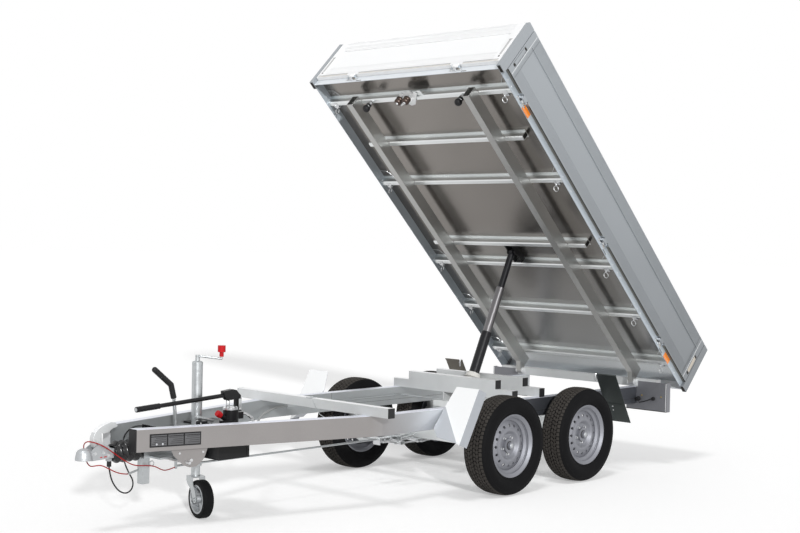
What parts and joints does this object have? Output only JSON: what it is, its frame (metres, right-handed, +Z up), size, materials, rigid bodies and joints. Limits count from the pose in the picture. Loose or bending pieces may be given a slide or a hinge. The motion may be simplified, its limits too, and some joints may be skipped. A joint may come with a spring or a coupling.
{
  "type": "tandem-axle tipper trailer",
  "caption": "Braked tandem-axle tipper trailer with a raised drop-side bed, telescopic ram, hand pump, jockey wheel and ball coupling.",
  "frame": {"origin": "on the ground under the middle of the overall box, with the bed raised as it stands", "axes": "+X forward to the coupling, +Y to the left side, +Z up"},
  "size_m": [4.7724, 1.652, 2.8998],
  "materials": {
    "galvanised": "hot-dip galvanised steel",
    "galvanised_dark": "darker galvanised sheet",
    "frame_steel": "galvanised drawbar rails",
    "bed_grey": "pale anodised and galvanised bed edges",
    "black_plastic": "matt black plastic",
    "black_rubber": "black rubber",
    "tyre": "black tyre rubber",
    "wheel_silver": "silver painted steel wheels",
    "red_plastic": "red knobs",
    "pump_black": "black painted hydraulic parts",
    "lamp_red": "red lamp lens",
    "amber": "amber reflectors",
    "ram_dark": "dark ram tubes",
    "ram_chrome": "bright ram tube",
    "cable_red": "red coated wire"
  },
  "bodies": {
    "chassis": {"rail_left": "frame_steel", "rail_right": "frame_steel", "instruction_plate": "black_plastic", "front_crossbar": "galvanised", "ram_bars": "galvanised", "bar_end_caps": "black_plastic", "rear_beam": "galvanised", "lamp_carriers": "galvanised", "rear_lamps": "lamp_red", "mudguards_front": "galvanised", "mudguards_rear": "galvanised_dark", "axle_front": "galvanised", "axle_rear": "galvanised", "overrun_housing": "galvanised", "overrun_bellows": "black_rubber", "coupling_head": "galvanised", "coupling_handle": "galvanised", "handbrake_lever": "galvanised", "handbrake_grip": "black_plastic", "jockey_clamp": "galvanised", "jockey_tube": "galvanised", "jockey_crank": "galvanised", "red_knobs": "red_plastic", "hand_pump": "pump_black", "pump_lever": "pump_black", "lighting_plug": "black_plastic", "breakaway_hook": "galvanised", "brake_linkage": "galvanised", "pump_hose": "black_rubber", "lighting_cable": "black_rubber", "breakaway_cable": "cable_red"},
    "bed": {"bed_frame": "bed_grey", "bed_floor": "galvanised_dark", "runners": "galvanised_dark", "cross_members": "galvanised", "corner_posts": "bed_grey", "reflectors": "amber", "buffers": "black_rubber", "ram_bracket": "pump_black"},
    "side_left": {"side_left": "bed_grey"},
    "side_right": {"side_right": "bed_grey"},
    "headboard": {"headboard": "bed_grey"},
    "tailgate": {"tailgate": "bed_grey"},
    "ram_barrel": {"ram_barrel": "ram_dark"},
    "ram_stage_1": {"ram_stage_1": "ram_dark"},
    "ram_stage_2": {"ram_stage_2": "ram_chrome"},
    "ram_stage_3": {"ram_stage_3": "ram_dark"},
    "jockey_inner": {"jockey_inner": "galvanised"},
    "jockey_fork": {"jockey_fork": "galvanised"},
    "jockey_wheel": {"jockey_rim": "wheel_silver", "jockey_tyre": "black_rubber"},
    "wheel_front_left": {"tyre_front_left": "tyre", "wheel_front_left": "wheel_silver"},
    "wheel_front_right": {"tyre_front_right": "tyre", "wheel_front_right": "wheel_silver"},
    "wheel_rear_left": {"tyre_rear_left": "tyre", "wheel_rear_left": "wheel_silver"},
    "wheel_rear_right": {"tyre_rear_right": "tyre", "wheel_rear_right": "wheel_silver"}
  },
  "joints": [
    {"name": "bed_tilt", "type": "hinge", "parent": "chassis", "child": "bed", "pos_m": [-1.89977, 0, 0.589], "axis": [0, -1, 0], "range_deg": [-43.9, 0]},
    {"name": "side_left_drop", "type": "hinge", "parent": "bed", "child": "side_left", "pos_m": [-1.0512, 0.818, 1.59573], "axis": [-0.7206, 0, -0.6934], "range_deg": [0, 178]},
    {"name": "side_right_drop", "type": "hinge", "parent": "bed", "child": "side_right", "pos_m": [-1.0512, -0.818, 1.59573], "axis": [0.7206, 0, 0.6934], "range_deg": [0, 178]},
    {"name": "headboard_drop", "type": "hinge", "parent": "bed", "child": "headboard", "pos_m": [0.02566, 0, 2.63201], "axis": [0, 1, 0], "range_deg": [0, 90]},
    {"name": "tailgate_drop", "type": "hinge", "parent": "bed", "child": "tailgate", "pos_m": [-2.12807, 0, 0.55944], "axis": [0, -1, 0], "range_deg": [0, 130]},
    {"name": "ram_swing", "type": "hinge", "parent": "chassis", "child": "ram_barrel", "pos_m": [-0.68177, 0, 0.526], "axis": [0, -1, 0], "range_deg": [-13.9, 0]},
    {"name": "ram_slide_1", "type": "slide", "parent": "ram_barrel", "child": "ram_stage_1", "axis": [-0.421, 0, 0.9071], "range_m": [-0.3005, 0]},
    {"name": "ram_slide_2", "type": "slide", "parent": "ram_stage_1", "child": "ram_stage_2", "axis": [-0.421, 0, 0.9071], "range_m": [-0.3305, 0]},
    {"name": "ram_slide_3", "type": "slide", "parent": "ram_stage_2", "child": "ram_stage_3", "axis": [-0.421, 0, 0.9071], "range_m": [-0.2525, 0]},
    {"name": "jockey_lift", "type": "slide", "parent": "chassis", "child": "jockey_inner", "axis": [0, 0, 1], "range_m": [0, 0.05]},
    {"name": "jockey_swivel", "type": "hinge", "parent": "jockey_inner", "child": "jockey_fork", "pos_m": [1.55823, -0.073, 0.106], "axis": [0, 0, 1], "continuous": true},
    {"name": "jockey_roll", "type": "hinge", "parent": "jockey_fork", "child": "jockey_wheel", "pos_m": [1.57382, 0.00036, 0.106], "axis": [0.9781, -0.2079, 0], "continuous": true},
    {"name": "wheel_front_left_roll", "type": "hinge", "parent": "chassis", "child": "wheel_front_left", "pos_m": [-0.28177, 0.652, 0.308], "axis": [0, 1, 0], "continuous": true},
    {"name": "wheel_front_right_roll", "type": "hinge", "parent": "chassis", "child": "wheel_front_right", "pos_m": [-0.28177, -0.652, 0.308], "axis": [0, 1, 0], "continuous": true},
    {"name": "wheel_rear_left_roll", "type": "hinge", "parent": "chassis", "child": "wheel_rear_left", "pos_m": [-1.05777, 0.652, 0.308], "axis": [0, 1, 0], "continuous": true},
    {"name": "wheel_rear_right_roll", "type": "hinge", "parent": "chassis", "child": "wheel_rear_right", "pos_m": [-1.05777, -0.652, 0.308], "axis": [0, 1, 0], "continuous": true}
  ],
  "couplings": [
    {"joint": "ram_swing", "follows": "bed_tilt", "ratio": 0.31558},
    {"joint": "ram_slide_1", "follows": "bed_tilt", "m_per_rad": 0.39154},
    {"joint": "ram_slide_2", "follows": "bed_tilt", "m_per_rad": 0.4307},
    {"joint": "ram_slide_3", "follows": "bed_tilt", "m_per_rad": 0.3289}
  ]
}
